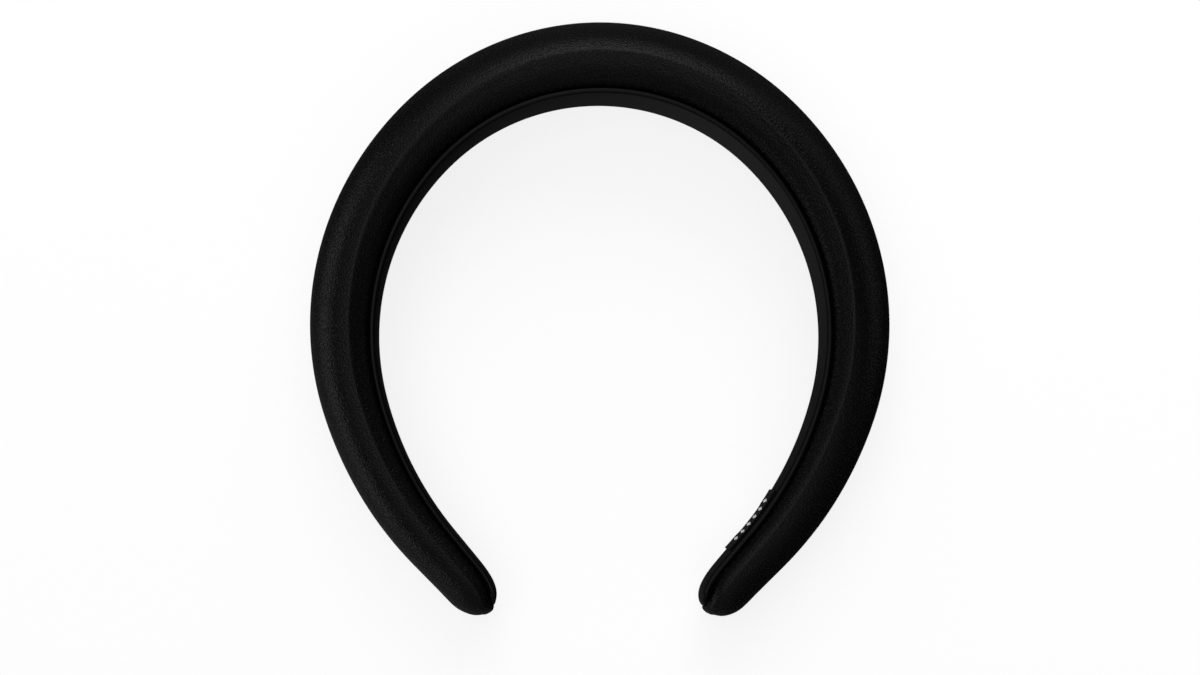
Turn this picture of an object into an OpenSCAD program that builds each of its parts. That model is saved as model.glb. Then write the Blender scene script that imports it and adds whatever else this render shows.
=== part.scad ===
// A padded hair band of black satin, lying on its side.
// An inner band follows the head. A thick pad wrapped in satin sits on its outside,
// widest and fullest at the crown and slim at the two tips.
// +X runs across the arch, +Y to the crown, +Z up from the surface that it rests on.

/* [Arch] */
// Radius of the inner band over the crown of the head
crown_radius = 66; // [60:1:72]
// Turn of the crown arc on each side, in degrees
crown_turn = 45; // [40:1:48]
// Radius of the inner band beside the temples
temple_radius = 75; // [68:1:84]
// Turn of the temple arc, in degrees
temple_turn = 60; // [55:1:63]
// Radius of the inner band behind the ears
ear_radius = 106; // [95:1:125]
// Turn of the ear arc, in degrees
ear_turn = 25; // [20:1:28]
// Length of the straight stretch before each tip
tail_length = 17.5; // [12:0.5:22]
// Radius at which each tip bends away from the head
flick_radius = 30; // [25:1:60]
// Turn of that outward bend, in degrees
flick_turn = 16; // [8:1:18]

/* [Pad] */
// Width of the pad at the crown
crown_width = 40; // [36:0.5:44]
// Width of the pad where each tip begins to round off
tip_width = 24.4; // [22:0.2:28]
// Height of the pad above the inner band at the crown
crown_height = 21.3; // [19:0.1:24]
// Height of the pad above the inner band at the tips
tip_height = 12.7; // [11.5:0.1:15]
// Height of the pad's widest line above the inner band at the crown
crown_ridge = 9.6; // [8:0.1:11]
// Height of the pad's widest line above the inner band at the tips
tip_ridge = 3.6; // [3.4:0.1:5]
// Radius of the rounded ridge along the widest line at the crown
ridge_radius = 2.6; // [2:0.1:4]
// Radius of that ridge at the tips
tip_ridge_radius = 1.3; // [1:0.1:2.4]
// How far the slope under the ridge swells out
side_bulge = 0.5; // [0:0.1:1]
// Length over which the pad rounds off at each tip
pad_nose = 14; // [11:0.2:16]
// How far the pad reaches past the end of the arm
pad_overhang = 0.9; // [0.4:0.1:1.4]
// How far the padding is pressed flat where it rests
settle = 0.4; // [0:0.1:0.8]

/* [Inner band] */
// Width of the inner band at the crown
inner_width = 29; // [26:0.5:31]
// Width of the inner band at the tips
inner_tip_width = 19.8; // [18:0.2:22]
// Thickness of the inner band with its ribbon wrapping
inner_thick = 1.8; // [1.4:0.1:2.6]
// How far the pad's seam is set in from the inner band's edge
seam_inset = 0.7; // [0.4:0.1:1.2]
// Length over which the inner band rounds off at each tip
inner_nose = 4.5; // [3:0.1:6]
// How far the inner band stops short of the end of the arm
inner_setback = 0.9; // [0.6:0.1:2]

/* [Label] */
// Distance of the label's middle from the end of the arm
label_from_end = 30; // [26:1:60]
// Length of the label along the band
label_length = 22.5; // [16:0.5:30]
// Width of the label
label_width = 16; // [8:0.5:17]
// Thickness of the folded label ribbon
label_thick = 0.6; // [0.4:0.1:1]

/* [Fit] */
// Gap between the pad, the inner band and the label
gap = 0.2; // [0.15:0.05:0.3]

/* [Hidden] */

satin_black = "#141416";
ribbon_black = "#1b1b1e";
label_black = "#26262a";

// Length of an arc of a given radius and turn
function span(radius, turn) = radius * turn * PI / 180;

// The line of the inner band's outer face, from the crown down one arm
ARC_SPAN = 0;
ARC_TURN = 1;
ARCH = [
    // span, turn towards the head in degrees
    [span(crown_radius, crown_turn), crown_turn],
    [span(temple_radius, temple_turn), temple_turn],
    [span(ear_radius, ear_turn), ear_turn],
    [tail_length, 0],
    [span(flick_radius, flick_turn), -flick_turn],
];
arc_last = len(ARCH) - 1;
arm = span(crown_radius, crown_turn) + span(temple_radius, temple_turn)
    + span(ear_radius, ear_turn) + tail_length + span(flick_radius, flick_turn);

// Length of the chord of an arc, which is the arc itself where nothing turns
function chord(length, turn) =
    turn == 0 ? length : length * sin(turn / 2) / (turn / 2 * PI / 180);

// Place and heading of the line: [x, y, degrees], with the crown at [0, 0, 0]
function along(s, k = 0, x = 0, y = 0, heading = 0) =
    let (
        row = ARCH[k],
        go = k == arc_last ? s : min(s, row[ARC_SPAN]),
        turn = row[ARC_TURN] * go / row[ARC_SPAN],
        c = chord(go, turn),
        middle = heading + turn / 2,
        here = [x + c * cos(middle), y - c * sin(middle), heading + turn]
    )
    k == arc_last || s <= row[ARC_SPAN]
        ? here
        : along(s - row[ARC_SPAN], k + 1, here.x, here.y, here[2]);

// How the pad slims from the crown to a tip, as shares of the way, 0 to 1
AT = 0;
WIDTH = 1;
HEIGHT = 2;
RIDGE = 3;
ROUND = 4;
TAPER = [
    // place on the arm, width, height, ridge height, ridge radius
    [0.00, 0.00, 0.00, 0.00, 0.00],
    [0.27, 0.15, 0.17, 0.30, 0.40],
    [0.54, 0.50, 0.36, 0.62, 0.80],
    [0.77, 0.80, 0.66, 0.88, 1.00],
    [0.94, 1.00, 1.00, 1.00, 1.00],
];
taper_last = len(TAPER) - 1;

// Slope of a taper column at row k, flat at the crown
function slope(column, k) =
    k == 0 ? 0
    : k == taper_last
        ? (TAPER[k][column] - TAPER[k - 1][column]) / (TAPER[k][AT] - TAPER[k - 1][AT])
        : (TAPER[k + 1][column] - TAPER[k - 1][column])
            / (TAPER[k + 1][AT] - TAPER[k - 1][AT]);

// A taper column at a share of the arm, on smooth cubic curves between the rows
function share(column, place, k = 0) =
    place >= TAPER[taper_last][AT]
        ? TAPER[taper_last][column]
        : place > TAPER[k + 1][AT]
            ? share(column, place, k + 1)
            : let (
                d = TAPER[k + 1][AT] - TAPER[k][AT],
                t = (place - TAPER[k][AT]) / d
            )
            TAPER[k][column] * (2 * t^3 - 3 * t^2 + 1)
            + slope(column, k) * d * (t^3 - 2 * t^2 + t)
            + TAPER[k + 1][column] * (3 * t^2 - 2 * t^3)
            + slope(column, k + 1) * d * (t^3 - t^2);

function from_to(crown, tip, column, s) = crown + (tip - crown) * share(column, s / arm);

// Sizes of the sections at a distance s from the crown
function half_width(s) = from_to(crown_width, tip_width, WIDTH, s) / 2;
function pad_height(s) = from_to(crown_height, tip_height, HEIGHT, s);
function ridge_height(s) = from_to(crown_ridge, tip_ridge, RIDGE, s);
function ridge_round(s) = from_to(ridge_radius, tip_ridge_radius, ROUND, s);
function inner_half(s) = from_to(inner_width, inner_tip_width, WIDTH, s) / 2;

// Points on half of the pad's outline
dome_points = 7;
ridge_points = 5;
slope_points = 4;

// Half of the pad's outline at s, from the top of the dome to the seam, as [across, out].
// A wide dome arc runs into the tight ridge arc, and a swelling slope runs on to the seam.
function half_outline(s) =
    let (
        r = ridge_round(s),
        ridge_at = [half_width(s) - r, ridge_height(s)],
        drop = pad_height(s) - ridge_at.y,
        dome = (ridge_at.x^2 + drop^2 - r^2) / (2 * (drop - r)),
        dome_turn = asin(ridge_at.x / (dome - r)),
        seam = [inner_half(s) - seam_inset, gap],
        reach = ridge_at - seam,
        slope_angle = atan2(reach.y, reach.x) - asin(r / norm(reach)),
        swell = 4 * side_bulge / norm(reach) * 180 / PI,
        under_turn = 180 - slope_angle - swell,
        foot = ridge_at + r * [sin(under_turn), cos(under_turn)],
        bend = foot + norm(foot - seam) / 2 * [cos(under_turn), -sin(under_turn)]
    )
    concat(
        [for (i = [0:dome_points - 1])
            let (a = dome_turn * i / dome_points)
            [dome * sin(a), pad_height(s) - dome + dome * cos(a)]],
        [for (i = [0:ridge_points])
            let (a = dome_turn + (under_turn - dome_turn) * i / ridge_points)
            ridge_at + r * [sin(a), cos(a)]],
        [for (i = [1:slope_points])
            let (t = i / slope_points)
            foot * (1 - t)^2 + bend * 2 * t * (1 - t) + seam * t^2]
    );

// The whole outline, up one side and down the other, without a double point at the top
function outline(s) =
    let (half = half_outline(s), n = len(half))
    concat(half, [for (i = [n - 1:-1:1]) [-half[i].x, half[i].y]]);

// A bar with rounded edges as [across, out], from its top down by its thickness
bar_steps = 3;
bar_round = 0.48;
function bar(half, top, thick) =
    let (r = min(thick, half) * bar_round)
    [for (corner = [0:3], i = [0:bar_steps])
        let (
            a = 90 * corner + 90 * i / bar_steps,
            across = (corner == 0 || corner == 1 ? 1 : -1) * (half - r),
            out = corner == 0 || corner == 3 ? top - r : top - thick + r
        )
        [across + r * sin(a), out + r * cos(a)]];

// A section at a spot of the line as points in space: across is +Z here, out is away from
// the head, and side is -1 on the other arm
function set_at(section, spot, side) =
    [for (p = section)
        [
            side * (spot.x + p.y * sin(spot[2])),
            spot.y + p.y * cos(spot[2]),
            p.x,
        ]];

function placed(section, s) = set_at(section, along(abs(s)), s < 0 ? -1 : 1);

// Where the rings stand along the band, in even steps between the two noses
ring_step = 4.5;
function stations(reach) =
    let (n = ceil(reach / ring_step))
    [for (i = [-n:n]) reach * i / n];

// A nose is a row of shrinking rings, given by angles from its start to its end
nose_turns = [16, 32, 46, 58, 68, 77, 84, 88];

// The pad's nose closes on a point above the inner band, and is blunt from above and the side
nose_core = 5.6;
nose_top = 0.62;
nose_side = 0.7;
pad_start = arm + pad_overhang - pad_nose;

function nose_outline(turn) =
    [for (p = outline(pad_start + pad_nose * sin(turn)))
        let (power = p.y > nose_core ? nose_top : 1)
        [p.x * cos(turn)^nose_side, nose_core + (p.y - nose_core) * cos(turn)^power]];

function pad_nose_rings(side) =
    [for (turn = nose_turns)
        placed(nose_outline(turn), side * (pad_start + pad_nose * sin(turn)))];

// The line of the inner band, which curls up behind the underside of the pad's nose
function curled(s) =
    let (
        spot = along(s),
        u = max(s - pad_start, 0) / pad_nose,
        c = sqrt(1 - u^2),
        lift = (nose_core - gap) * (1 - c),
        climb = atan((nose_core - gap) / pad_nose * u / c)
    )
    [spot.x + lift * sin(spot[2]), spot.y + lift * cos(spot[2]), spot[2] - climb];

function inner_placed(section, s) = set_at(section, curled(abs(s)), s < 0 ? -1 : 1);

// The inner band's nose thins to a share of its thickness, and its corners are full
nose_thin = 0.6;
nose_fullness = 0.6;
inner_start = arm - inner_setback - inner_nose;

function inner_nose_rings(side) =
    [for (turn = nose_turns)
        let (s = inner_start + inner_nose * sin(turn))
        inner_placed(
            bar(
                inner_half(s) * cos(turn)^nose_fullness,
                0,
                inner_thick * (nose_thin + (1 - nose_thin) * cos(turn))
            ),
            side * s
        )];

function reversed(list) = [for (i = [len(list) - 1:-1:0]) list[i]];

pad_rings = concat(
    reversed(pad_nose_rings(-1)),
    [for (s = stations(pad_start)) placed(outline(abs(s)), s)],
    pad_nose_rings(1)
);

// Between the start of the curl and its own nose the inner band has rings where the pad has
curl_reach = inner_start - pad_start;
curl_steps = [for (turn = nose_turns) if (pad_nose * sin(turn) < curl_reach) pad_nose * sin(turn)];
inner_stops = concat(
    [for (step = reversed(curl_steps)) -pad_start - step],
    stations(pad_start),
    [for (step = curl_steps) pad_start + step]
);

inner_rings = concat(
    reversed(inner_nose_rings(-1)),
    [for (s = inner_stops) inner_placed(bar(inner_half(abs(s)), 0, inner_thick), s)],
    inner_nose_rings(1)
);

// The label lies on the inner face, near the end of the +X arm
label_steps = 10;
label_start = arm - label_from_end - label_length / 2;
label_rings =
    [for (i = [0:label_steps])
        let (s = label_start + label_length * i / label_steps)
        placed(bar(label_width / 2, -inner_thick - gap, label_thick), s)];

// Lying on its side, the band touches with the ridge at the crown and near both tips
tip_spot = along(pad_start);
tip_rest = tip_spot.y + tip_ridge * cos(tip_spot[2]);
rest_tilt = atan2((crown_width - tip_width) / 2, crown_ridge - tip_rest);

function tilted(p) =
    [p.x, p.y * cos(rest_tilt) - p.z * sin(rest_tilt), p.y * sin(rest_tilt) + p.z * cos(rest_tilt)];

pad_points = [for (ring = pad_rings, p = ring) tilted(p)];
floor_z = min([for (p = pad_points) p.z]) + settle;
y_values = [for (p = pad_points) p.y];
middle_y = (min(y_values) + max(y_values)) / 2;

// A point of the tilted band in the part's frame, pressed flat where it would sink
function rested(p) = [p.x, p.y - middle_y, max(0, p.z - floor_z)];

// Faces of a closed tube through rings of points, with flat caps
function tube_faces(count, sides) =
    concat(
        [[for (i = [0:sides - 1]) i]],
        [for (k = [0:count - 2], i = [0:sides - 1])
            let (j = (i + 1) % sides, a = k * sides)
            each [[a + i, a + sides + j, a + j], [a + i, a + sides + i, a + sides + j]]],
        [[for (i = [sides - 1:-1:0]) (count - 1) * sides + i]]
    );

module tube(rings) {
    polyhedron(
        points = [for (ring = rings, p = ring) rested(tilted(p))],
        faces = tube_faces(len(rings), len(rings[0])),
        convexity = 6
    );
}

// Foam pad wrapped in black satin
module padded_band() {
    color(satin_black) tube(pad_rings);
}

// Stiff band wrapped in ribbon, on the side of the head
module inner_band() {
    color(ribbon_black) tube(inner_rings);
}

// Folded woven label sewn to the inner face
module label() {
    color(label_black) tube(label_rings);
}

padded_band();
inner_band();
label();
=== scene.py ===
"""The looks of a padded hair band in black satin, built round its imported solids.

The band lies on its side: +X runs across the arch, +Y to the crown, +Z up from the floor.
Sizes are in millimetres, and become metres where a mesh is made.
"""

import math

import bpy
import numpy as np
from mathutils import Matrix, Vector


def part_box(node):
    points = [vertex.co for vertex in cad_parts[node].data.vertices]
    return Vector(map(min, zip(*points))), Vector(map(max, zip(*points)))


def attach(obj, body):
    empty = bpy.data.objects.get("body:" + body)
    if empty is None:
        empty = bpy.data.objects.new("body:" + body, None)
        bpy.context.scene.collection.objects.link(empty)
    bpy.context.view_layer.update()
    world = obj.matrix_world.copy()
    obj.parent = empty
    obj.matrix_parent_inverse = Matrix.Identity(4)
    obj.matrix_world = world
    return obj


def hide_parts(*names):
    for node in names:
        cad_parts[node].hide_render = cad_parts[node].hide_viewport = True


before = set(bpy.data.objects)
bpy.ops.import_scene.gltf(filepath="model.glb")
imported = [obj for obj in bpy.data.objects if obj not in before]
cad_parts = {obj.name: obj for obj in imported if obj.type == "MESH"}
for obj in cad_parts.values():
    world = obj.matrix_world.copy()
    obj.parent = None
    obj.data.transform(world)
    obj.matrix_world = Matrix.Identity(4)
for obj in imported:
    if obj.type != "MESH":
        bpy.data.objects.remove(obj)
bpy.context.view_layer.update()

# Satin cover over the foam pad
# A strip of black duchess satin is laid over a foam pad that is fullest at the crown, pulled
# tight over the foam's edges, folded under and sewn to the inner band by hand. The foam's edge
# shows as a rather tight ridge, and the satin puckers a little at the sewing and at the tips.
scene = bpy.context.scene
MM = 0.001

# Length in mm and turn in degrees of each stretch of the inner band's outer face, from the crown
# to a tip. A bent stretch is as long as its turn times its radius.
ARCH = [(math.radians(45) * 66, 45), (math.radians(60) * 75, 60), (math.radians(25) * 106, 25)]
ARCH += [(17.5, 0), (math.radians(16) * 30, -16)]
ARM = sum(length for length, turn in ARCH)

# How the band slims: place on the arm, then width, height, ridge height and ridge radius as
# shares of the way from the crown's size to the tip's
TAPER = np.array([
    (0.00, 0.00, 0.00, 0.00, 0.00),
    (0.27, 0.15, 0.17, 0.30, 0.40),
    (0.54, 0.50, 0.36, 0.62, 0.80),
    (0.77, 0.80, 0.66, 0.88, 1.00),
    (0.94, 1.00, 1.00, 1.00, 1.00),
])
WIDTH, HEIGHT, RIDGE, ROUND = 1, 2, 3, 4

# Sizes at the crown and at the tips
PAD_WIDTH = (40.0, 24.4)
PAD_HEIGHT = (21.3, 12.7)
RIDGE_HEIGHT = (9.6, 3.6)
RIDGE_RADIUS = (2.6, 1.3)
INNER_WIDTH = (29.0, 19.8)

# How far the slope under the ridge swells, where the satin is folded and sewn, the room left for
# the ribbon, and how far the foam is pressed in where it rests
SIDE_BULGE = 0.5
SEAM_INSET = 0.7
FOLD_RADIUS = 0.5
GAP = 0.2
SETTLE = 0.4

# The pad ends past the arm's end and the inner band short of it. The pad's rounded end closes on
# its core, with powers for its fullness over the core, at the sides and in the tuck under it, and
# it is crowned, in mm at the left and right tip.
OVERHANG = 0.9
PAD_NOSE = 14.0
PAD_START = ARM + OVERHANG - PAD_NOSE
INNER_END = ARM - OVERHANG
NOSE_CORE, NOSE_TOP, NOSE_SIDE = 5.6, 0.62, 0.7
TUCK, TUCK_RUN = 0.55, 0.3
NOSE_CROWN = (1.0, 0.5)
NOSE_RINGS = 12
STITCH_PITCH = 2.8
RING_STEP = STITCH_PITCH / 2


def along(s):
    """x, y and heading of the seat line at s mm from the crown, which is at (0, 0)."""
    left, x, y, heading = abs(s), 0.0, 0.0, 0.0
    for k, (length, turn) in enumerate(ARCH):
        go = left if k == len(ARCH) - 1 else min(left, length)
        half = math.radians(turn * go / length) / 2
        chord = go * (math.sin(half) / half if half else 1)
        x += chord * math.cos(heading + half)
        y -= chord * math.sin(heading + half)
        heading += 2 * half
        left -= go
        if left <= 0:
            break
    return x, y, heading


def size(ends, column, s):
    """A size at s, between its crown and tip values, on smooth curves through the taper."""
    at, value = TAPER[:, 0], TAPER[:, column]
    slope = np.empty(len(at))
    slope[0] = 0
    slope[1:-1] = (value[2:] - value[:-2]) / (at[2:] - at[:-2])
    slope[-1] = (value[-1] - value[-2]) / (at[-1] - at[-2])
    place = min(abs(s) / ARM, at[-1])
    k = max(int(np.searchsorted(at, place)) - 1, 0)
    d = at[k + 1] - at[k]
    t = (place - at[k]) / d
    share = (
        value[k] * (2 * t**3 - 3 * t**2 + 1)
        + slope[k] * d * (t**3 - 2 * t**2 + t)
        + value[k + 1] * (3 * t**2 - 2 * t**3)
        + slope[k + 1] * d * (t**3 - t**2)
    )
    return ends[0] + (ends[1] - ends[0]) * share


def upright(section, s, line=along):
    """A section's points (across, out) at s, as points of the arch before it leans over."""
    x, y, heading = line(s)
    across, out = np.array(section, float).T
    side = -1 if s < 0 else 1
    return np.column_stack([
        side * (x + out * math.sin(heading)), y + out * math.cos(heading), across
    ])


def rounded_end(start, reach, count):
    """Where the rings of a rounded end stand, with the turn that each is shrunk by."""
    turns = [math.pi / 2 * math.sin(math.pi / 2 * i / count) for i in range(1, count)]
    return [(start + reach * math.sin(turn), turn) for turn in turns]


def stations(start, reach, step, count):
    """Every ring of the band as (s, turn), from one rounded end to the other."""
    n = math.ceil(start / step)
    end = rounded_end(start, reach, count)
    return (
        [(-s, turn) for s, turn in reversed(end)]
        + [(start * i / n, 0.0) for i in range(-n, n + 1)]
        + end
    )


def around(half):
    """A closed outline from half of one, which runs from its top to under its middle."""
    return np.concatenate([(half * (-1, 1))[:0:-1], half[:-1]])


# Points on half of the cover's outline: dome, ridge, slope, fold and underside
DOME, EDGE, SLOPE, FOLD, UNDER = 12, 8, 6, 2, 3
SEWN = DOME + EDGE + SLOPE + 1


def cover_outline(s, turn):
    """The cover's outline at s. The pad's rounded ends close on a point above the band."""
    r = size(RIDGE_RADIUS, ROUND, s)
    height = size(PAD_HEIGHT, HEIGHT, s)
    ridge = np.array([size(PAD_WIDTH, WIDTH, s) / 2 - r, size(RIDGE_HEIGHT, RIDGE, s)])
    drop = height - ridge[1]
    dome = (ridge[0] ** 2 + drop**2 - r**2) / (2 * (drop - r))
    dome_turn = math.asin(ridge[0] / (dome - r))
    seam = np.array([size(INNER_WIDTH, WIDTH, s) / 2 - SEAM_INSET, GAP])
    reach = ridge - seam
    slope = math.atan2(reach[1], reach[0]) - math.asin(r / np.hypot(*reach))
    cut = FOLD_RADIUS * math.tan(slope / 2)
    fold_top = seam + cut * np.array([math.cos(slope), math.sin(slope)])
    fold_end = seam - (cut, 0)
    # The slope swells a little, so it leaves the ridge sooner than a straight one would
    swell = 4 * SIDE_BULGE / np.hypot(*(ridge - fold_top))
    last = math.pi - slope - swell
    foot = ridge + r * np.array([math.sin(last), math.cos(last)])
    bend = foot + np.hypot(*(foot - fold_top)) / 2 * np.array([math.cos(last), -math.sin(last)])
    half = []
    for a in np.linspace(0, dome_turn, DOME, endpoint=False):
        half.append((dome * math.sin(a), height - dome + dome * math.cos(a)))
    for a in np.linspace(dome_turn, last, EDGE + 1):
        half.append(ridge + r * np.array([math.sin(a), math.cos(a)]))
    for t in np.linspace(0, 1, SLOPE + 1)[1:]:
        half.append(foot * (1 - t) ** 2 + bend * 2 * t * (1 - t) + fold_top * t**2)
    for t in np.linspace(0, 1, FOLD + 1)[1:]:
        half.append(fold_top * (1 - t) ** 2 + seam * 2 * t * (1 - t) + fold_end * t**2)
    for t in np.linspace(0, 1, UNDER + 1)[1:]:
        half.append((fold_end[0] * (1 - t), GAP))
    half = np.array(half)
    shrink = math.cos(turn)
    # Past the end of the inner band the satin is tucked down over it
    tucked = (1 + math.tanh((abs(s) - INNER_END - TUCK_RUN) / TUCK_RUN)) / 2
    power = np.where(half[:, 1] > NOSE_CORE, NOSE_TOP, 1 - TUCK * tucked)
    half[:, 1] = NOSE_CORE + (half[:, 1] - NOSE_CORE) * shrink**power
    half[:, 0] *= shrink**NOSE_SIDE
    return around(half)


def tube(name, rings, poles, runs):
    """A closed mesh through rings of points, with a pole past each end and a UV map in metres.

    The UV map holds the way along the band and the way round it from the top of the outline.
    """
    count, sides = len(rings), len(rings[0])
    points = np.concatenate([*rings, poles])
    faces, corners = [], []
    top = sides // 2
    for k, ring in enumerate(rings):
        steps = np.linalg.norm(np.roll(ring, -1, axis=0) - ring, axis=1)
        way = np.concatenate([[0], np.cumsum(steps)])
        corners.append(way - way[top])
    for k in range(count - 1):
        for i in range(sides):
            j = (i + 1) % sides
            faces.append((
                [k * sides + i, k * sides + j, (k + 1) * sides + j, (k + 1) * sides + i],
                [(runs[k], corners[k][i]), (runs[k], corners[k][i + 1]),
                 (runs[k + 1], corners[k + 1][i + 1]), (runs[k + 1], corners[k + 1][i])],
            ))
    for i in range(sides):
        j = (i + 1) % sides
        last = (count - 1) * sides
        faces.append((
            [j, i, count * sides],
            [(runs[0], corners[0][i + 1]), (runs[0], corners[0][i]), (runs[0], 0)],
        ))
        faces.append((
            [last + i, last + j, count * sides + 1],
            [(runs[-1], corners[-1][i]), (runs[-1], corners[-1][i + 1]), (runs[-1], 0)],
        ))
    mesh = bpy.data.meshes.new(name)
    mesh.from_pydata((points * MM).tolist(), [], [corner for corner, uv in faces])
    layer = mesh.uv_layers.new(name="cloth")
    layer.data.foreach_set("uv", (np.array([uv for c, f in faces for uv in f]) * MM).ravel())
    for face in mesh.polygons:
        face.use_smooth = True
    piece = bpy.data.objects.new(name, mesh)
    scene.collection.objects.link(piece)
    return piece


# Both ends are crowned. Sewn by hand, the left one has come out a little fuller than the right one.
cover_stations = [
    (s + math.copysign(NOSE_CROWN[s > 0], s) * (1 - math.cos(turn)) ** 2, turn)
    for s, turn in stations(PAD_START, PAD_NOSE, RING_STEP, NOSE_RINGS)]
cover_ends = (-PAD_START - PAD_NOSE - NOSE_CROWN[0], PAD_START + PAD_NOSE + NOSE_CROWN[1])
cover_upright = [upright(cover_outline(s, turn), s) for s, turn in cover_stations]

# The ridge touches the floor at the crown and near both tips, so the arch leans a little
tip_y, tip_heading = along(PAD_START)[1:]
LEAN = math.atan2(
    (PAD_WIDTH[0] - PAD_WIDTH[1]) / 2,
    RIDGE_HEIGHT[0] - tip_y - RIDGE_HEIGHT[1] * math.cos(tip_heading),
)
lean = np.array([
    (1, 0, 0),
    (0, math.cos(LEAN), -math.sin(LEAN)),
    (0, math.sin(LEAN), math.cos(LEAN)),
])
leaned = np.concatenate(cover_upright) @ lean.T
pad_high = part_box("padded_band")[1]
DOWN = leaned[:, 2].min() + SETTLE
BACK = leaned[:, 1].max() - pad_high[1] / MM


def rested(points):
    """Points of the upright arch in the part's frame, where it lies on its side."""
    return points @ lean.T - (0, BACK, DOWN)


cover_rings = [rested(ring) for ring in cover_upright]
cover_poles = rested(np.concatenate([
    upright([(0, NOSE_CORE)], s) for s in cover_ends
]))
cover = tube("satin_cover", cover_rings, cover_poles, [s + ARM for s, turn in cover_stations])


def give_attribute(mesh, name, values):
    """Stores a number for each point of a mesh."""
    layer = mesh.attributes.new(name, "FLOAT", "POINT")
    layer.data.foreach_set("value", np.array(values, np.float32))


def read_points(mesh, name="position"):
    """The numbers that a mesh holds for its points: places, normals or a named attribute."""
    if name in ("position", "normal"):
        values = np.empty(len(mesh.vertices) * 3, np.float32)
        mesh.vertices.foreach_get("co" if name == "position" else "normal", values)
        return values.reshape(-1, 3).astype(float)
    values = np.empty(len(mesh.vertices), np.float32)
    mesh.attributes[name].data.foreach_get("value", values)
    return values.astype(float)


def place_points(mesh, points):
    """Moves the points of a mesh."""
    mesh.vertices.foreach_set("co", points.astype(np.float32).ravel())
    mesh.update()


# Each point knows its way along the band and up from the sewn fold, and whether it is held down
way, rise, held = [], [], []
sides = len(cover_rings[0])
for (s, turn), ring in zip(cover_stations, cover_rings):
    steps = np.concatenate([[0], np.cumsum(np.linalg.norm(np.diff(ring, axis=0), axis=1))])
    for i in range(sides):
        column = abs(i - sides // 2)
        fold = sides // 2 + (SEWN if i >= sides // 2 else -SEWN)
        way.append(s)
        rise.append(abs(steps[i] - steps[fold]) * (1 if column <= SEWN else -1))
        held.append(1.0 if column >= SEWN else 0.0)
for s in cover_ends:
    way.append(s)
    rise.append(PAD_HEIGHT[1] / 2)
    held.append(0.0)
give_attribute(cover.data, "way", way)
give_attribute(cover.data, "rise", rise)

# The pad swells under the satin, which starts a little inside its real size. The solver expects
# things of a metre or so, so the cover is simulated many times as large.
SWELL_START = 0.16
SWELL_CAP = 0.26
SIM_SCALE = 20
SIM_FRAMES = 20
original = read_points(cover.data)
loose = 1 - np.array(held)[:, None]
inside = original - read_points(cover.data, "normal") * SWELL_START * MM * loose
place_points(cover.data, inside * SIM_SCALE)
sewn = cover.vertex_groups.new(name="sewn")
sewn.add([i for i, share in enumerate(held) if share], 1.0, "REPLACE")
swell = cover.modifiers.new("swell", "CLOTH")
swell.settings.vertex_group_mass = "sewn"
swell.settings.quality = 5
swell.settings.mass = 0.3
swell.settings.use_pressure = True
swell.settings.uniform_pressure_force = 4
swell.settings.effector_weights.gravity = 0
swell.settings.tension_stiffness = 15
swell.settings.compression_stiffness = 15
swell.settings.shear_stiffness = 15
swell.settings.bending_stiffness = 0.5
swell.settings.shrink_min = -0.004
swell.point_cache.frame_start = 1
swell.point_cache.frame_end = SIM_FRAMES
for number in range(1, SIM_FRAMES + 1):
    scene.frame_set(number)
depsgraph = bpy.context.evaluated_depsgraph_get()
swollen = bpy.data.meshes.new_from_object(cover.evaluated_get(depsgraph))
cover.modifiers.remove(swell)
cover.vertex_groups.remove(sewn)
scene.frame_set(1)
moved = read_points(swollen) / SIM_SCALE - inside
far = np.linalg.norm(moved, axis=1, keepdims=True) / MM
moved *= np.tanh(far / SWELL_CAP) * SWELL_CAP / np.maximum(far, 1e-6)
place_points(cover.data, inside + moved)
bpy.data.meshes.remove(swollen)


def finished(piece):
    """Applies a piece's modifiers, so that its mesh is the plain result."""
    depsgraph = bpy.context.evaluated_depsgraph_get()
    mesh = bpy.data.meshes.new_from_object(piece.evaluated_get(depsgraph))
    piece.modifiers.clear()
    old = piece.data
    piece.data = mesh
    bpy.data.meshes.remove(old)
    return mesh


smooth = cover.modifiers.new("smooth", "SUBSURF")
smooth.levels = smooth.render_levels = 1
cover_mesh = finished(cover)

# Each stitch draws the fold in, and the satin puckers up the slope between stitches
STITCH_PULL = 0.20
PULL_REACH = 0.9
PUCKER = 0.03
PUCKER_REACH = 4.0
way, rise = read_points(cover_mesh, "way"), read_points(cover_mesh, "rise")
beat = np.cos(2 * math.pi * way / STITCH_PITCH)
dimple = STITCH_PULL * np.exp(-((rise / PULL_REACH) ** 2)) * ((1 + beat) / 2) ** 2
pucker = PUCKER * beat * np.exp(-np.abs(rise) / PUCKER_REACH)
sunk = read_points(cover_mesh)
sunk -= read_points(cover_mesh, "normal") * ((dimple + pucker) * MM)[:, None]

# The foam is pressed flat where the band rests on the table
sunk[:, 2] = np.maximum(sunk[:, 2], 0)
place_points(cover_mesh, sunk)


def linear(code):
    """An sRGB hex colour as the linear colour that a shader's socket takes."""
    parts = [int(code[i:i + 2], 16) / 255 for i in (1, 3, 5)]
    return tuple(p / 12.92 if p <= 0.04045 else ((p + 0.055) / 1.055) ** 2.4 for p in parts) + (1,)


def add_node(tree, kind, inputs=(), **settings):
    """Adds a node to a tree, with its settings, and its inputs as values or links."""
    node = tree.nodes.new(kind)
    for name, value in settings.items():
        setattr(node, name, value)
    for socket, value in dict(inputs).items():
        if isinstance(value, bpy.types.NodeSocket):
            tree.links.new(value, node.inputs[socket])
        else:
            node.inputs[socket].default_value = value
    return node


# Where a colour Mix node takes its two colours and gives their mix
MIX_FROM, MIX_TO, MIXED = 6, 7, 2


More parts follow.
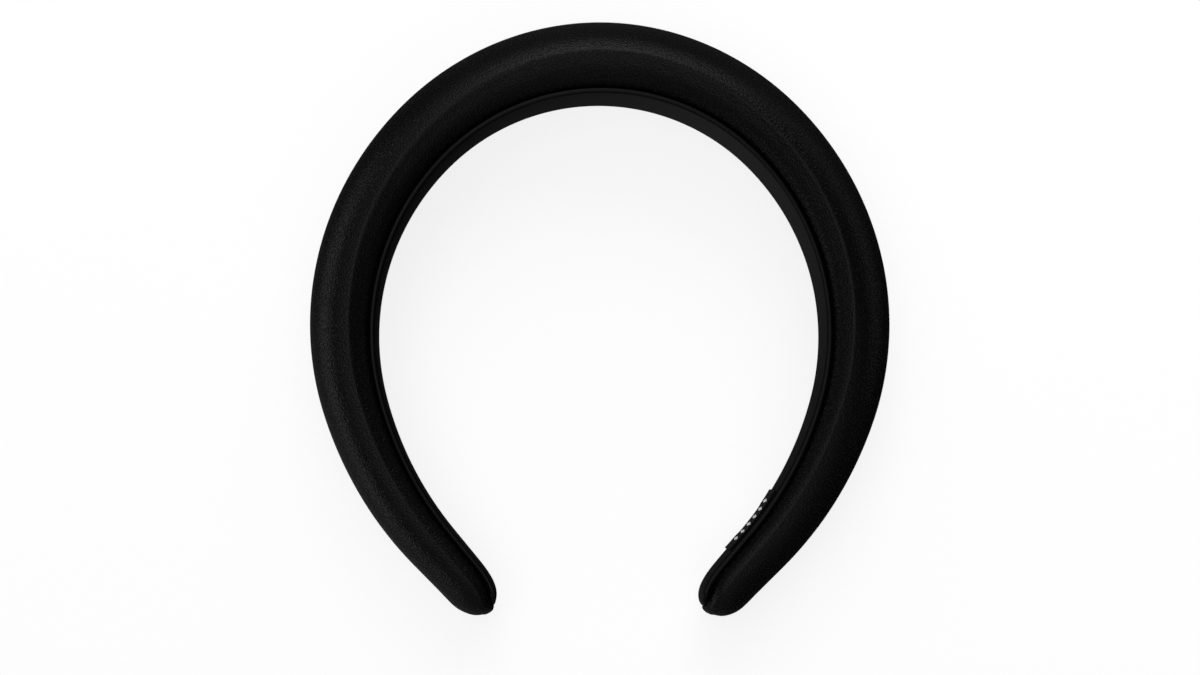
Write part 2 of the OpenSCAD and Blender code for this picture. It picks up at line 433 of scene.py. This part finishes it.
def blank_material(name):
    """A new material with an empty tree and an output."""
    material = bpy.data.materials.new(name)
    material.use_nodes = True
    material.node_tree.nodes.clear()
    output = add_node(material.node_tree, "ShaderNodeOutputMaterial")
    return material, material.node_tree, output


# Duchess satin is woven with long warp floats lying across the band, so it has a fine grain that
# glitters softly where it turns to the light, and it is nearly black elsewhere. That glitter is
# painted into the base colour as light grey specks, a painted glint that shows under any light.
# Its floats are 0.1 mm apart, too fine to show, so they are drawn in bunches of half a millimetre.
FLOAT_BUNCH, FLOAT_LENGTH = 0.52, 0.72
RIPPLE_STEP, RIPPLE_LENGTH = 1.6, 7.0
satin, tree, output = blank_material("duchess_satin_black")
uv = add_node(tree, "ShaderNodeUVMap", uv_map="cloth").outputs["UV"]
floats_at = add_node(tree, "ShaderNodeMapping", {
    "Vector": uv, "Scale": (1 / (FLOAT_BUNCH * MM), 1 / (FLOAT_LENGTH * MM), 1)})
floats = add_node(tree, "ShaderNodeTexNoise", {
    "Vector": floats_at.outputs["Vector"], "Scale": 1.0, "Detail": 1.0, "Roughness": 0.6})
ripple_at = add_node(tree, "ShaderNodeMapping", {
    "Vector": uv, "Scale": (1 / (RIPPLE_STEP * MM), 1 / (RIPPLE_LENGTH * MM), 1)})
ripples = add_node(tree, "ShaderNodeTexNoise", {
    "Vector": ripple_at.outputs["Vector"], "Scale": 1.0, "Detail": 2.0, "Roughness": 0.5})
# Painted glint: where the floats' noise is high, the base colour lightens from near black to a grey
# speck, standing in for light caught by the floats
painted_glint = add_node(tree, "ShaderNodeMapRange", {
    "Value": floats.outputs["Fac"], "From Min": 0.42, "From Max": 0.62})
shade = add_node(tree, "ShaderNodeMix", {
    "Factor": painted_glint.outputs["Result"], MIX_FROM: linear("#010101"), MIX_TO: linear("#1c1c1e")},
    data_type="RGBA")
gloss = add_node(tree, "ShaderNodeMapRange", {
    "Value": floats.outputs["Fac"], "From Min": 0.42, "From Max": 0.58,
    "To Min": 0.42, "To Max": 0.18})
ripple_bump = add_node(tree, "ShaderNodeBump", {
    "Height": ripples.outputs["Fac"], "Strength": 1.0, "Distance": 0.06 * MM})
grain_bump = add_node(tree, "ShaderNodeBump", {
    "Height": floats.outputs["Fac"], "Strength": 1.0, "Distance": 0.22 * MM,
    "Normal": ripple_bump.outputs["Normal"]})
surface = add_node(tree, "ShaderNodeBsdfPrincipled", {
    "Base Color": shade.outputs[MIXED], "Roughness": gloss.outputs["Result"],
    "Normal": grain_bump.outputs["Normal"], "Specular IOR Level": 0.5})
tree.links.new(surface.outputs["BSDF"], output.inputs["Surface"])
cover.data.materials.append(satin)

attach(cover, "root")
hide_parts("padded_band")

# Inner band
# A stiff strip, bent to the head and wrapped tightly in satin ribbon whose edges meet out of
# sight under the pad. Its own edges and ends are round, and the side towards the head is plain.
INNER_THICK = 1.8
INNER_NOSE = 4.5
INNER_START = INNER_END - INNER_NOSE
INNER_RINGS = 9
NOSE_THIN = 0.45
NOSE_FULLNESS = 0.6


def curled(s):
    """The line of the inner band, which curls up behind the underside of the pad's nose."""
    x, y, heading = along(s)
    u = max(abs(s) - PAD_START, 0) / PAD_NOSE
    c = math.sqrt(1 - u**2)
    lift = (NOSE_CORE - GAP) * (1 - c)
    climb = math.atan((NOSE_CORE - GAP) / PAD_NOSE * u / c)
    return x + lift * math.sin(heading), y + lift * math.cos(heading), heading - climb


def strip_path(name, stops, values):
    """A line of points along the band, with numbers and directions stored on each point."""
    mesh = bpy.data.meshes.new(name)
    mesh.from_pydata((stops * MM).tolist(), [(i, i + 1) for i in range(len(stops) - 1)], [])
    for key, value in values.items():
        if np.ndim(value) == 2:
            layer = mesh.attributes.new(key, "FLOAT_VECTOR", "POINT")
            layer.data.foreach_set("vector", np.array(value, np.float32).ravel())
        else:
            give_attribute(mesh, key, value)
    return mesh


def node_tree(name, *inputs):
    """A new geometry tree with its inputs, as (name, kind) pairs, and its group nodes."""
    tree = bpy.data.node_groups.new(name, "GeometryNodeTree")
    for label, kind in (("Geometry", "NodeSocketGeometry"),) + inputs:
        tree.interface.new_socket(name=label, in_out="INPUT", socket_type=kind)
    tree.interface.new_socket(
        name="Geometry", in_out="OUTPUT", socket_type="NodeSocketGeometry")
    return tree, add_node(tree, "NodeGroupInput").outputs, add_node(tree, "NodeGroupOutput")


def maths(tree, operation, *values):
    """A Math node's result, from numbers or sockets."""
    return add_node(tree, "ShaderNodeMath", dict(enumerate(values)), operation=operation).outputs[0]


def grown(name, base, tree, **values):
    """The piece that a geometry tree makes from a base mesh, as a plain mesh."""
    piece = bpy.data.objects.new(name, base)
    scene.collection.objects.link(piece)
    grow = piece.modifiers.new("grow", "NODES")
    grow.node_group = tree
    for item in tree.interface.items_tree:
        if item.in_out == "INPUT" and item.name in values:
            grow[item.identifier] = values[item.name]
    mesh = finished(piece)
    used = [material for material in mesh.materials if material]
    mesh.materials.clear()
    mesh.materials.append(used[0])
    mesh.polygons.foreach_set("material_index", [0] * len(mesh.polygons))
    return piece


def frame_at(s):
    """The directions across the band and out from the head at s, in the part's frame."""
    zero, across, out = rested(upright([(0, 0), (1, 0), (0, 1)], s, curled))
    return across - zero, out - zero


inner_stations = stations(INNER_START, INNER_NOSE, RING_STEP, INNER_RINGS)
inner_stations = (
    [(-INNER_START - INNER_NOSE, math.pi / 2)] + inner_stations
    + [(INNER_START + INNER_NOSE, math.pi / 2)]
)
inner_stops = np.concatenate([rested(upright([(0, 0)], s, curled)) for s, turn in inner_stations])
shrink = np.array([max(math.cos(turn), 0) for s, turn in inner_stations])
inner_path = strip_path("inner_path", inner_stops, {
    "way": [(s + ARM) * MM for s, turn in inner_stations],
    "half_width": shrink**NOSE_FULLNESS * [
        size(INNER_WIDTH, WIDTH, s) / 2 * MM for s, turn in inner_stations],
    "thickness": INNER_THICK * MM * (NOSE_THIN + (1 - NOSE_THIN) * shrink),
    "across": [frame_at(s)[0] for s, turn in inner_stations],
    "out": [frame_at(s)[1] for s, turn in inner_stations],
})

# A grid is wrapped round the path: two faces for each flat side, and ten round each edge
EDGE_FACES = 10
SIDE_FACES = 2 * (EDGE_FACES + 2)
wrap, given, result = node_tree("wrapped_strip", ("Ribbon", "NodeSocketMaterial"))
stops = add_node(wrap, "GeometryNodeAttributeDomainSize", {"Geometry": given["Geometry"]})
last = maths(wrap, "SUBTRACT", stops.outputs["Point Count"], 1.0)
sheet = add_node(wrap, "GeometryNodeMeshGrid", {
    "Size X": last, "Size Y": float(SIDE_FACES), "Vertices X": stops.outputs["Point Count"],
    "Vertices Y": SIDE_FACES + 1})
place = add_node(wrap, "ShaderNodeSeparateXYZ", {
    "Vector": add_node(wrap, "GeometryNodeInputPosition").outputs["Position"]})
row = maths(wrap, "ADD", place.outputs["X"], maths(wrap, "MULTIPLY", last, 0.5))
index = add_node(wrap, "FunctionNodeFloatToInt", {"Float": row}).outputs["Integer"]


def on_path(name, kind):
    """A value that the path holds, read at the row of the grid."""
    if name:
        value = add_node(
            wrap, "GeometryNodeInputNamedAttribute", {"Name": name}, data_type=kind).outputs[0]
    else:
        value = add_node(wrap, "GeometryNodeInputPosition").outputs["Position"]
    return add_node(
        wrap, "GeometryNodeSampleIndex",
        {"Geometry": given["Geometry"], "Value": value, "Index": index}, data_type=kind,
    ).outputs["Value"]


half_thick = maths(wrap, "MULTIPLY", on_path("thickness", "FLOAT"), 0.5)
half_width = on_path("half_width", "FLOAT")
edge_radius = maths(wrap, "MINIMUM", half_thick, half_width)
flat = maths(wrap, "SUBTRACT", half_width, edge_radius)
side = maths(wrap, "SIGN", place.outputs["Y"])
step = maths(wrap, "ABSOLUTE", place.outputs["Y"])
inner_part = maths(wrap, "MINIMUM", step, 1.0)
outer_part = maths(wrap, "MAXIMUM", maths(wrap, "SUBTRACT", step, EDGE_FACES + 1.0), 0.0)
turned = maths(wrap, "SUBTRACT", maths(wrap, "SUBTRACT", step, inner_part), outer_part)
turned = maths(wrap, "MULTIPLY", turned, math.pi / EDGE_FACES)
reach = maths(wrap, "MULTIPLY", flat, maths(wrap, "SUBTRACT", inner_part, outer_part))
reach = maths(wrap, "MULTIPLY_ADD", edge_radius, maths(wrap, "SINE", turned), reach)
reach = maths(wrap, "MULTIPLY", reach, side)
drop = maths(wrap, "MULTIPLY", half_thick, maths(wrap, "ADD", maths(wrap, "COSINE", turned), 1.0))
length = maths(wrap, "MULTIPLY", flat, maths(wrap, "ADD", inner_part, outer_part))
length = maths(wrap, "MULTIPLY_ADD", edge_radius, turned, length)
length = maths(wrap, "MULTIPLY", length, side)
sideways = add_node(wrap, "ShaderNodeVectorMath", {
    0: on_path("across", "FLOAT_VECTOR"), "Scale": reach}, operation="SCALE")
inwards = add_node(wrap, "ShaderNodeVectorMath", {
    0: on_path("out", "FLOAT_VECTOR"), "Scale": maths(wrap, "MULTIPLY", drop, -1.0)},
    operation="SCALE")
offset = add_node(wrap, "ShaderNodeVectorMath", {
    0: sideways.outputs["Vector"], 1: inwards.outputs["Vector"]}, operation="ADD")
middle = add_node(wrap, "ShaderNodeVectorMath", {
    0: on_path("", "FLOAT_VECTOR"), 1: offset.outputs["Vector"]}, operation="ADD")
cloth = add_node(wrap, "ShaderNodeCombineXYZ", {"X": on_path("way", "FLOAT"), "Y": length})
mapped = add_node(wrap, "GeometryNodeStoreNamedAttribute", {
    "Geometry": sheet.outputs["Mesh"], "Name": "cloth", "Value": cloth.outputs["Vector"]},
    data_type="FLOAT2", domain="CORNER")
wrapped = add_node(wrap, "GeometryNodeSetPosition", {
    "Geometry": mapped.outputs["Geometry"], "Position": middle.outputs["Vector"]})
closed = add_node(wrap, "GeometryNodeMergeByDistance", {
    "Geometry": wrapped.outputs["Geometry"], "Distance": 0.004 * MM})
smoothed = add_node(wrap, "GeometryNodeSetShadeSmooth", {"Geometry": closed.outputs["Geometry"]})
real = add_node(wrap, "GeometryNodeRealizeInstances", {"Geometry": smoothed.outputs["Geometry"]})
dressed = add_node(wrap, "GeometryNodeSetMaterial", {
    "Geometry": real.outputs["Geometry"], "Material": given["Ribbon"]})
wrap.links.new(dressed.outputs["Geometry"], result.inputs["Geometry"])

# Single-face satin ribbon, 0.25 mm between its ribs: flatter and more even than the cover, so it
# shows a soft grey sheen along its round edge.
RIB_STEP, RIB_LENGTH = 0.25, 1.2
ribbon, tree, output = blank_material("satin_ribbon_black")
uv = add_node(tree, "ShaderNodeUVMap", uv_map="cloth").outputs["UV"]
ribs_at = add_node(tree, "ShaderNodeMapping", {
    "Vector": uv, "Scale": (1 / (RIB_STEP * MM), 1 / (RIB_LENGTH * MM), 1)})
ribs = add_node(tree, "ShaderNodeTexNoise", {
    "Vector": ribs_at.outputs["Vector"], "Scale": 1.0, "Detail": 1.0})
rib_bump = add_node(tree, "ShaderNodeBump", {
    "Height": ribs.outputs["Fac"], "Strength": 1.0, "Distance": 0.02 * MM})
surface = add_node(tree, "ShaderNodeBsdfPrincipled", {
    "Base Color": linear("#050506"), "Roughness": 0.4, "Normal": rib_bump.outputs["Normal"],
    "Specular IOR Level": 0.5})
tree.links.new(surface.outputs["BSDF"], output.inputs["Surface"])
inner = grown("inner_ribbon_band", inner_path, wrap, Ribbon=ribbon)

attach(inner, "root")
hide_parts("inner_band")

# Ladder stitches
# A doubled polyester thread is drawn by hand from the cover's fold to the ribbon and back, every
# 2.8 mm down both sides, and pulled tight, so that only short slanted bars of it show.
THREAD = 0.20
STITCH_LENGTH = 1.0
STITCH_SLANT = 14.0
SUNK_ENDS, RAISED_MIDDLE = -0.8, 1.2

sewing, given, result = node_tree(
    "ladder_stitches", ("Pitch", "NodeSocketFloat"), ("Length", "NodeSocketFloat"),
    ("Thread", "NodeSocketFloat"), ("Slant", "NodeSocketFloat"), ("Seed", "NodeSocketInt"),
    ("Yarn", "NodeSocketMaterial"))
seam = add_node(sewing, "GeometryNodeMeshToCurve", {"Mesh": given["Geometry"]})
marks = add_node(sewing, "GeometryNodeResampleCurve", {
    "Curve": seam.outputs["Curve"], "Length": given["Pitch"]}, mode="LENGTH")
half_length = maths(sewing, "MULTIPLY", given["Length"], 0.5)
ends = [
    add_node(sewing, "ShaderNodeCombineXYZ", {
        "X": maths(sewing, "MULTIPLY", half_length, side),
        "Z": maths(sewing, "MULTIPLY", given["Thread"], SUNK_ENDS)}).outputs["Vector"]
    for side in (-1.0, 1.0)
]
crest = add_node(sewing, "ShaderNodeCombineXYZ", {
    "Z": maths(sewing, "MULTIPLY", given["Thread"], RAISED_MIDDLE)})
bow = add_node(sewing, "GeometryNodeCurveQuadraticBezier", {
    "Resolution": 7, "Start": ends[0], "Middle": crest.outputs["Vector"], "End": ends[1]})
yarn_ring = add_node(sewing, "GeometryNodeCurvePrimitiveCircle", {
    "Resolution": 8, "Radius": maths(sewing, "MULTIPLY", given["Thread"], 0.5)})
bar = add_node(sewing, "GeometryNodeCurveToMesh", {
    "Curve": bow.outputs["Curve"], "Profile Curve": yarn_ring.outputs["Curve"], "Fill Caps": True})
over, up = (
    add_node(sewing, "GeometryNodeInputNamedAttribute", {"Name": name}, data_type="FLOAT_VECTOR")
    for name in ("over", "up"))
laid = add_node(sewing, "FunctionNodeAlignRotationToVector", {"Vector": up.outputs[0]}, axis="Z")
laid = add_node(sewing, "FunctionNodeAlignRotationToVector", {
    "Rotation": laid.outputs["Rotation"], "Vector": over.outputs[0]}, axis="X", pivot_axis="Z")
chance = add_node(sewing, "FunctionNodeRandomValue", {
    "Min": 0.2, "Max": 1.8, "Seed": given["Seed"]}, data_type="FLOAT")
lean_by = maths(sewing, "MULTIPLY", given["Slant"], chance.outputs[1])
slant = add_node(sewing, "ShaderNodeCombineXYZ", {"Z": maths(sewing, "RADIANS", lean_by)})
slanted = add_node(sewing, "FunctionNodeRotateRotation", {
    "Rotation": laid.outputs["Rotation"], "Rotate By": slant.outputs["Vector"]},
    rotation_space="LOCAL")
spread = add_node(sewing, "FunctionNodeRandomValue", {
    "Min": 0.85, "Max": 1.15, "Seed": maths(sewing, "ADD", given["Seed"], 1.0)}, data_type="FLOAT")
bars = add_node(sewing, "GeometryNodeInstanceOnPoints", {
    "Points": marks.outputs["Curve"], "Instance": bar.outputs["Mesh"],
    "Rotation": slanted.outputs["Rotation"], "Scale": spread.outputs[1]})
real = add_node(sewing, "GeometryNodeRealizeInstances", {"Geometry": bars.outputs["Instances"]})
smoothed = add_node(sewing, "GeometryNodeSetShadeSmooth", {"Geometry": real.outputs["Geometry"]})
dressed = add_node(sewing, "GeometryNodeSetMaterial", {
    "Geometry": smoothed.outputs["Geometry"], "Material": given["Yarn"]})
sewing.links.new(dressed.outputs["Geometry"], result.inputs["Geometry"])

# Spun polyester thread is dull and a little fuzzy, so it is darker than the satin round it
FUZZ = 0.12
yarn, tree, output = blank_material("spun_polyester_thread_black")
place = add_node(tree, "ShaderNodeTexCoord").outputs["Object"]
fuzz = add_node(tree, "ShaderNodeTexNoise", {
    "Vector": place, "Scale": 1 / (FUZZ * MM), "Detail": 1.0})
fuzz_bump = add_node(tree, "ShaderNodeBump", {
    "Height": fuzz.outputs["Fac"], "Strength": 1.0, "Distance": 0.02 * MM})
surface = add_node(tree, "ShaderNodeBsdfPrincipled", {
    "Base Color": linear("#08080a"), "Roughness": 0.7, "Normal": fuzz_bump.outputs["Normal"],
    "Specular IOR Level": 0.2})
tree.links.new(surface.outputs["BSDF"], output.inputs["Surface"])

# How far the stitches lie off the ribbon's back and inside its edge. They end where the satin
# turns in over the tips.
STITCH_OUT = 0.10
STITCH_IN = 0.35
SEWN_TO = PAD_START + PAD_NOSE / 2
reach = int(4 * SEWN_TO / STITCH_PITCH)
places = [STITCH_PITCH / 4 * k for k in range(-reach, reach + 1)]
for number, face in enumerate((-1, 1)):
    line, overs, ups = [], [], []
    for s in places:
        turn = math.asin(min(max((abs(s) - INNER_START) / INNER_NOSE, 0), 1))
        edge = size(INNER_WIDTH, WIDTH, s) / 2 * math.cos(turn) ** NOSE_FULLNESS - STITCH_IN
        line.append(rested(upright([(face * edge, STITCH_OUT)], s, curled))[0])
        across, out = frame_at(s)
        overs.append(out)
        ups.append(across * face)
    stitches = grown(
        ("ladder_stitches_under", "ladder_stitches_upper")[number],
        strip_path("seam", np.array(line), {"over": np.array(overs), "up": np.array(ups)}),
        sewing, Pitch=STITCH_PITCH * MM, Length=STITCH_LENGTH * MM, Thread=THREAD * MM,
        Slant=STITCH_SLANT, Seed=number, Yarn=yarn)
    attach(stitches, "root")

# Label
# A narrow black label woven with a small white pattern. Its two ends are folded under and sewn
# down, and the folds are springy, so the label stands a little off the ribbon at both ends.
LABEL_START = 161.25
LABEL_LENGTH = 22.5
LABEL_WIDTH = 16.0
LABEL_CLOTH = 0.20
LABEL_FLAP = 5.0
LABEL_LOOP = 0.17
LABEL_SEAT = INNER_THICK + GAP

# The height of its outer layer in thicknesses of the cloth, by itself and more on a flap, where
# and how softly it comes down past a flap, and how fast the spring of the fold dies away
FACE_LOW, FACE_RISE, FACE_AT_FOLD = 0.75, 0.9, 1.15
FLAP_PAST, FLAP_EASE = 0.6, 0.7
SPRING_RUN = 1.6


def label_face(x):
    """Height of the label's outer layer at x mm from its nearer end."""
    on_flap = (1 - math.tanh((x - LABEL_FLAP - FLAP_PAST) / FLAP_EASE)) / 2
    spring = (2 * LABEL_LOOP - LABEL_CLOTH * FACE_AT_FOLD) * math.exp(-x / SPRING_RUN)
    return LABEL_CLOTH * (FACE_LOW + FACE_RISE * on_flap) + spring


def label_route():
    """The middle of the label's cloth as (along, off the ribbon), from one flap to the other."""
    low = LABEL_CLOTH / 2
    half = [(LABEL_FLAP, low), (LABEL_FLAP * 0.55, low), (LABEL_LOOP * 2.2, low)]
    for a in np.linspace(0, math.pi, 9):
        half.append((LABEL_LOOP * (1 - math.sin(a)), low + LABEL_LOOP * (1 - math.cos(a))))
    for t in np.linspace(0, 1, 16)[1:]:
        x = LABEL_LOOP + (LABEL_LENGTH / 2 - LABEL_LOOP) * t
        half.append((x, label_face(x)))
    return np.array(half + [(LABEL_LENGTH - x, z) for x, z in reversed(half[:-1])])


route = label_route()
tangent = np.gradient(route, axis=0)
tangent /= np.linalg.norm(tangent, axis=1, keepdims=True)
facing = np.column_stack([-tangent[:, 1], tangent[:, 0]])
lengths = np.concatenate([[0], np.cumsum(np.linalg.norm(np.diff(route, axis=0), axis=1))])
LABEL_COLUMNS = 12
spots = np.linspace(-LABEL_WIDTH / 2, LABEL_WIDTH / 2, LABEL_COLUMNS + 1)
profile = [(x, 0.5) for x in spots] + [(x, -0.5) for x in spots[::-1]]
label_points, label_uv = [], []
for (x, z), (nx, nz), run in zip(route, facing, lengths):
    for across, side in profile:
        s = LABEL_START + x + nx * side * LABEL_CLOTH
        off = z + nz * side * LABEL_CLOTH
        label_points.append(rested(upright([(across, -LABEL_SEAT - off)], s))[0])
        label_uv.append((run * MM, across * MM))
around_label = len(profile)
label_faces = []
for k in range(len(route) - 1):
    for i in range(around_label):
        j = (i + 1) % around_label
        a, b = k * around_label, (k + 1) * around_label
        label_faces.append((a + i, b + i, b + j, a + j))
for i in range(LABEL_COLUMNS):
    end = (len(route) - 1) * around_label
    other = around_label - 1 - i
    label_faces.append((i, i + 1, other - 1, other))
    label_faces.append((end + i + 1, end + i, end + other, end + other - 1))
label_mesh = bpy.data.meshes.new("woven_label")
label_mesh.from_pydata((np.array(label_points) * MM).tolist(), [], label_faces)
label_layer = label_mesh.uv_layers.new(name="cloth")
for loop in label_mesh.loops:
    label_layer.data[loop.index].uv = label_uv[loop.vertex_index]
for face in label_mesh.polygons:
    face.use_smooth = True
label = bpy.data.objects.new("woven_label", label_mesh)
scene.collection.objects.link(label)

# Damask-woven polyester: a black ground of fine ribs, 0.15 mm apart and drawn at 0.3 mm, with a
# row of slender lozenges in white weft that stand out as small bright marks.
LABEL_RIB = 0.3
label_weave, tree, output = blank_material("damask_woven_label")
uv = add_node(tree, "ShaderNodeUVMap", uv_map="cloth").outputs["UV"]
split = add_node(tree, "ShaderNodeSeparateXYZ", {"Vector": uv})
LOZENGES, LOZENGE_STEP, LOZENGE_LONG, LOZENGE_WIDE = 6, 2.9, 0.8, 5.6
middle_run = lengths[-1] / 2 * MM
run = maths(tree, "SUBTRACT", split.outputs["X"], middle_run)
first = maths(tree, "ADD", run, (LOZENGES - 1) / 2 * LOZENGE_STEP * MM)
cell = maths(tree, "PINGPONG", first, LOZENGE_STEP / 2 * MM)
along_part = maths(tree, "DIVIDE", cell, LOZENGE_LONG * MM)
wide_part = maths(tree, "DIVIDE", maths(tree, "ABSOLUTE", split.outputs["Y"]), LOZENGE_WIDE * MM)
inside_lozenge = maths(tree, "LESS_THAN", maths(tree, "ADD", along_part, wide_part), 1.0)
in_row = maths(tree, "LESS_THAN", maths(tree, "ABSOLUTE", run), LOZENGES / 2 * LOZENGE_STEP * MM)
white = maths(tree, "MULTIPLY", inside_lozenge, in_row)
rib = maths(tree, "MULTIPLY", split.outputs["X"], 2 * math.pi / (LABEL_RIB * MM))
rib = maths(tree, "SINE", rib)
shade = add_node(tree, "ShaderNodeMix", {
    "Factor": white, MIX_FROM: linear("#29292c"), MIX_TO: linear("#fbfbf9")}, data_type="RGBA")
rib_bump = add_node(tree, "ShaderNodeBump", {
    "Height": rib, "Strength": 1.0, "Distance": 0.02 * MM})
surface = add_node(tree, "ShaderNodeBsdfPrincipled", {
    "Base Color": shade.outputs[MIXED], "Roughness": 0.6, "Normal": rib_bump.outputs["Normal"],
    "Specular IOR Level": 0.2})
tree.links.new(surface.outputs["BSDF"], output.inputs["Surface"])
label_mesh.materials.append(label_weave)

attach(label, "root")
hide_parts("label")

# Short running stitches hold its two folded ends
LABEL_SEWN = 1.7
for number, s in enumerate((LABEL_START + LABEL_SEWN, LABEL_START + LABEL_LENGTH - LABEL_SEWN)):
    across, out = frame_at(s)
    top = LABEL_SEAT + label_face(LABEL_SEWN) + LABEL_CLOTH / 2
    line = [(spot, -top) for spot in spots[1:-1]]
    row = strip_path("label_end", rested(upright(line, s)), {
        "over": np.tile(across, (len(line), 1)), "up": np.tile(-out, (len(line), 1))})
    stitches = grown(
        ("label_stitches_upper", "label_stitches_lower")[number], row, sewing,
        Pitch=1.9 * MM, Length=1.3 * MM, Thread=0.16 * MM, Slant=4.0, Seed=number + 2, Yarn=yarn)
    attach(stitches, "root")

# Floor, light and camera
# The band lies on a light table of white acrylic, which glows softly from below, under a few
# large and weak studio lamps. The satin doesn't mirror the table, so its edges stay black.
bpy.ops.mesh.primitive_plane_add(size=16)
floor = bpy.context.object
floor.name = "floor"
acrylic, tree, output = blank_material("white_acrylic_light_table")
surface = add_node(tree, "ShaderNodeBsdfPrincipled", {
    "Base Color": linear("#f4f4f4"), "Roughness": 0.7, "Specular IOR Level": 0.2,
    "Emission Color": (1, 1, 1, 1), "Emission Strength": 0.82})
tree.links.new(surface.outputs["BSDF"], output.inputs["Surface"])
floor.data.materials.append(acrylic)
floor.visible_glossy = False


def direction(azimuth, height):
    """The way to a light from its azimuth, counted from +X, and its height, both in degrees."""
    a, e = math.radians(azimuth), math.radians(height)
    return math.cos(a) * math.cos(e), math.sin(a) * math.cos(e), math.sin(e)


# Each lamp's azimuth and height in degrees, its two sides in metres and its radiance
LAMPS = {
    "beyond_crown": (77, 35, 0.80, 0.70, 0.52),
    "low_left": (188, 1, 1.80, 0.28, 0.68),
    "low_right": (22, 4, 1.20, 0.34, 0.19),
}
LAMP_REACH = 1.0
for name, (azimuth, height, wide, high, radiance) in LAMPS.items():
    towards = Vector(direction(azimuth, height))
    data = bpy.data.lights.new(name, "AREA")
    data.shape = "RECTANGLE"
    data.size, data.size_y = wide, high
    data.energy = radiance * math.pi * wide * high
    lamp = bpy.data.objects.new(name, data)
    scene.collection.objects.link(lamp)
    turned = towards.to_track_quat("Z", "Y").to_matrix().to_4x4()
    lamp.matrix_world = Matrix.Translation(towards * LAMP_REACH) @ turned

# The camera's place and what it looks at, in mm on the arch before it leans over, and its tilt
EYE, TARGET, ROLL = (-22.63, -111.2, 760.0), (-0.13, -73.55, 0.0), 0.45
camera = bpy.data.objects.new("camera", bpy.data.cameras.new("camera"))
scene.collection.objects.link(camera)
scene.camera = camera
camera.data.lens = 76.126
eye, target = (Vector(rested(np.array([point]))[0] * MM) for point in (EYE, TARGET))
ahead = (target - eye).normalized()
right = ahead.cross(Vector(lean @ (0, 1, 0))).normalized()
turned = Matrix((right, right.cross(ahead), -ahead)).transposed().to_4x4()
roll = Matrix.Rotation(math.radians(ROLL), 4, "Z")
camera.matrix_world = Matrix.Translation(eye) @ turned @ roll

# White sheets hung round the studio glow softly. Each one's azimuth and height in degrees, how
# closely its light keeps together, and its radiance
SHEETS = {
    "over_left": (180, 68, 14, 0.48),
    "over_tips": (300, 65, 14, 0.23),
    "beyond_crown": (108, 35, 12, 0.50),
    "in_front": (280, 35, 4, 0.11),
    "under_left": (225, -45, 4, 0.107),
    "under_crown": (90, -30, 4, 0.047),
}
world = bpy.data.worlds.new("studio")
scene.world = world
world.use_nodes = True
tree = world.node_tree
backdrop = tree.nodes["Background"]
backdrop.inputs["Color"].default_value = (1, 1, 1, 1)
toward = add_node(tree, "ShaderNodeTexCoord").outputs["Generated"]
glow = 0.0
for azimuth, height, closeness, radiance in SHEETS.values():
    facing = add_node(tree, "ShaderNodeVectorMath", {
        0: toward, 1: direction(azimuth, height)}, operation="DOT_PRODUCT")
    facing = maths(tree, "MAXIMUM", facing.outputs["Value"], 0.0)
    facing = maths(tree, "POWER", facing, closeness)
    glow = maths(tree, "MULTIPLY_ADD", facing, radiance, glow)
tree.links.new(glow, backdrop.inputs["Strength"])
scene.view_settings.view_transform = "Standard"
